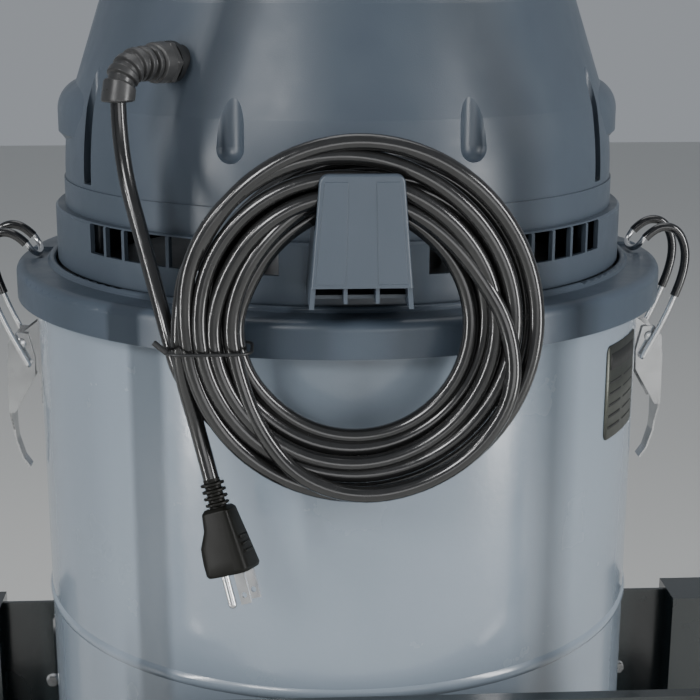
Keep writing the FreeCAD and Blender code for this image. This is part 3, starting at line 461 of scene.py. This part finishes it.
def add_boot():
    """Ribbed boot with its hexagon nut and collar."""
    profile = list(BOOT_NECK)
    for rib in range(BOOT_RIBS):
        middle = BOOT_RIB_FIRST + BOOT_RIB_PITCH * rib
        radius = BOOT_RIB_R - 0.0002 * rib
        profile += [(middle - BOOT_RIB_FOOT, BOOT_CORE_R), (middle - BOOT_RIB_TOP, radius),
                    (middle + BOOT_RIB_TOP, radius), (middle + BOOT_RIB_FOOT, BOOT_CORE_R)]
    profile += BOOT_CUFF
    rings = [boot_ring(along, radius) for along, radius in profile]
    boot = add_piece("boot", rings, BOOT_VINYL, BODY, 0.0006)
    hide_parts("cord_boot")
    nut = [boot_ring(along, radius, sides=6) for along, radius in NUT_PROFILE]
    add_piece("boot_nut", nut, BOOT_VINYL, BODY, 0.0008)
    collar = [boot_ring(along, radius) for along, radius in COLLAR_PROFILE]
    add_piece("boot_collar", collar, BOOT_VINYL, BODY, 0.0006)


# Plug in its own frame: the cord comes in from above at the origin and the ground pin is on +X.
# Each section is its height, its two x limits and half its depth.
PLUG_SECTIONS = [
    (-0.0150, -0.0062, 0.0068, 0.0062),
    (-0.0170, -0.0080, 0.0086, 0.0080),
    (-0.0260, -0.0092, 0.0095, 0.0090),
    (-0.0305, -0.0099, 0.0116, 0.0096),
    (-0.0350, -0.0106, 0.0139, 0.0102),
    (-0.0440, -0.0118, 0.0144, 0.0112),
    (-0.0502, -0.0126, 0.0140, 0.0118),
    (-0.0520, -0.0118, 0.0132, 0.0110),
]
PLUG_TURN = math.radians(158)
RELIEF_DISCS = 4
RELIEF_PITCH = 0.0037
RELIEF_CORE_R = 0.0046
RELIEF_DISC_R = 0.0067
GRIP_BARS = 3
GRIP_TOP = -0.0330
GRIP_PITCH = 0.0042


def plug_matrix():
    """Place of the plug at the end of the cord."""
    end = Vector(TAIL_POINTS[-1])
    hang = Vector(TAIL_POINTS[-2]) - end
    swing = Vector((0, 0, 1)).rotation_difference(hang).to_matrix().to_4x4()
    return Matrix.Translation(end) @ swing @ Matrix.Rotation(PLUG_TURN, 4, "Z")


def rounded_ring(matrix, z, low_x, high_x, half_y, square=0.42, sides=32):
    """Ring with soft corners between two x limits."""
    middle = (low_x + high_x) / 2
    half_x = (high_x - low_x) / 2
    ring = []
    for i in range(sides):
        angle = 2 * math.pi * i / sides
        x = math.copysign(abs(math.cos(angle)) ** square, math.cos(angle))
        y = math.copysign(abs(math.sin(angle)) ** square, math.sin(angle))
        ring.append(matrix @ Vector((middle + half_x * x, half_y * y, z)))
    return ring


def add_plug():
    """Moulded plug body with the discs of its strain relief and its grip bars."""
    matrix = plug_matrix()
    rings = [rounded_ring(matrix, *section) for section in reversed(PLUG_SECTIONS)]
    body = add_piece("plug_moulding", rings, PLUG_VINYL, BODY, 0.0005)
    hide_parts("plug_body")
    profile = [(0.001, 0.0048)]
    for disc in range(RELIEF_DISCS):
        top = -0.0010 - RELIEF_PITCH * disc
        profile += [(top, RELIEF_CORE_R), (top - 0.0003, RELIEF_DISC_R),
                    (top - 0.0018, RELIEF_DISC_R), (top - 0.0021, RELIEF_CORE_R)]
    profile.append((-0.0165, 0.0050))
    discs = [rounded_ring(matrix, z, -radius, radius, radius, 1.0) for z, radius in reversed(profile)]
    add_piece("plug_relief", discs, PLUG_VINYL, BODY, 0.0004).parent = body
    for bar in range(GRIP_BARS):
        z = GRIP_TOP - GRIP_PITCH * bar
        shift = matrix @ Matrix.Translation((-0.0103 - 0.0005 * bar, 0, 0))
        grip = [rounded_ring(shift, z + dz, -0.0010, 0.0010, 0.0050) for dz in (-0.0008, 0.0008)]
        add_piece("plug_grip_%d" % bar, grip, PLUG_VINYL, BODY, 0.0003)
    return body


# Latch bail on the +X side, as x and height above LID_Z: from the lever eye up and over the lid.
BAIL_ROUTE = [(0.2159, -0.054), (0.2330, -0.020), (0.2445, 0.016), (0.2360, 0.0395), (0.2170, 0.0385),
              (0.2065, 0.0224)]
BAIL_HALF = 0.0165
BAIL_STUB = 0.0102          # how far off the middle the wire ends in the eyes of the lever
WIRE_R = 0.002
SLEEVE_R = 0.0031
SLEEVE_START = 0.20         # shares of the leg that a sleeve covers
SLEEVE_END = 0.92


def add_bails():
    """Bent wire bail with two black sleeves on each latch."""
    for name, side in (("left", -1), ("right", 1)):
        legs = {}
        for y in (-BAIL_HALF, BAIL_HALF):
            legs[y] = [(side * x, y, LID_Z + z) for x, z in BAIL_ROUTE]
        eye_x, eye_z = side * BAIL_ROUTE[0][0], LID_Z + BAIL_ROUTE[0][1]
        wire = [(eye_x, -BAIL_STUB, eye_z), (eye_x, -BAIL_HALF, eye_z)] + legs[-BAIL_HALF]
        wire += list(reversed(legs[BAIL_HALF])) + [(eye_x, BAIL_HALF, eye_z), (eye_x, BAIL_STUB, eye_z)]
        bail = add_curve("bail_wire_" + name, wire, WIRE_R, 12)
        bail.data.materials.append(MATERIALS["zinc_steel"])
        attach(bail, "bail_" + name)
        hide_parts("latch_bail_" + name)
        for place, y in (("rear", -BAIL_HALF), ("front", BAIL_HALF)):
            sleeve = add_curve("bail_sleeve_%s_%s" % (name, place), legs[y], SLEEVE_R, 16)
            sleeve.data.bevel_factor_start = SLEEVE_START
            sleeve.data.bevel_factor_end = SLEEVE_END
            sleeve.data.materials.append(SLEEVE_VINYL)
            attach(sleeve, "bail_" + name)
            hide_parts("latch_sleeves_" + name)


# Front plate of the cord hook: two slightly raised panels leave a sunk band between them.
HOOK_FACE_Y = -0.255
# Height of a panel edge, and its distances from the middle line.
HOOK_PANEL_EDGES = [(LID_Z + 0.050, 0.0085, 0.0245), (LID_Z + 0.104, 0.0072, 0.0195)]


def add_hook_panels():
    """Shallow upright facets on the front plate of the cord hook."""
    for name, side in (("left", -1), ("right", 1)):
        rings = []
        for z, near, far in HOOK_PANEL_EDGES:
            ends = sorted((side * near, side * far))
            rings.append([(ends[0], HOOK_FACE_Y - 0.0003, z), (ends[1], HOOK_FACE_Y - 0.0003, z),
                          (ends[1], HOOK_FACE_Y + 0.0005, z), (ends[0], HOOK_FACE_Y + 0.0005, z)])
        add_piece("hook_panel_" + name, rings, MATERIALS["motor_plastic"], BODY, 0.0003)


# Rating plate, bent to the drum; its fields are blank.
PLATE_AZIMUTH = math.radians(60)
PLATE_HALF = 0.0298
PLATE_LOW = LID_Z - 0.080
PLATE_HIGH = LID_Z - 0.018
PLATE_CORNER = 0.004
PLATE_THICK = 0.0008
FIELD_ROWS = 5
FIELD_TOP = 0.0245          # first row, below the top edge
FIELD_PITCH = 0.0075


def add_wrapped(name, low_u, high_u, low_z, high_z, stand, thick, corner, material):
    """Strip bent round the drum, between two distances from the middle of the plate."""
    columns = 36
    corners = []
    for i in range(columns + 1):
        u = low_u + (high_u - low_u) * i / columns
        over = max(0.0, corner - min(u - low_u, high_u - u))
        inset = corner - math.sqrt(max(0.0, corner ** 2 - over ** 2))
        angle = PLATE_AZIMUTH + u / DRUM_R
        for radius in (DRUM_R + stand, DRUM_R + stand + thick):
            for z in (low_z + inset, high_z - inset):
                corners.append((radius * math.sin(angle), -radius * math.cos(angle), z))
    rings = [[corners[4 * i + k] for k in (0, 1, 3, 2)] for i in range(columns + 1)]
    return add_piece(name, rings, material, BODY)


def add_rating_plate():
    """Metal plate with a dark heading band and rows of empty fields."""
    plate = add_wrapped("plate", -PLATE_HALF, PLATE_HALF, PLATE_LOW, PLATE_HIGH,
                        0.0, PLATE_THICK, PLATE_CORNER, MATERIALS["label_metal"])
    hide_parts("rating_plate")
    margin = PLATE_HALF - 0.005
    add_wrapped("plate_heading", -margin, margin, PLATE_HIGH - 0.0165, PLATE_HIGH - 0.0055,
                PLATE_THICK, 0.00015, 0.001, FIELD_INK)
    for row in range(FIELD_ROWS):
        z = PLATE_HIGH - FIELD_TOP - FIELD_PITCH * row
        add_wrapped("plate_field_%d" % row, -margin, -0.004, z - 0.0009, z + 0.0009,
                    PLATE_THICK, 0.0001, 0.0004, FIELD_INK)
        add_wrapped("plate_blank_%d" % row, 0.001, margin, z - 0.0005, z + 0.0005,
                    PLATE_THICK, 0.0001, 0.0003, FIELD_INK)


add_camera()
add_studio()
dress_nodes()
add_cord()
add_boot()
add_bails()
add_hook_panels()
add_rating_plate()
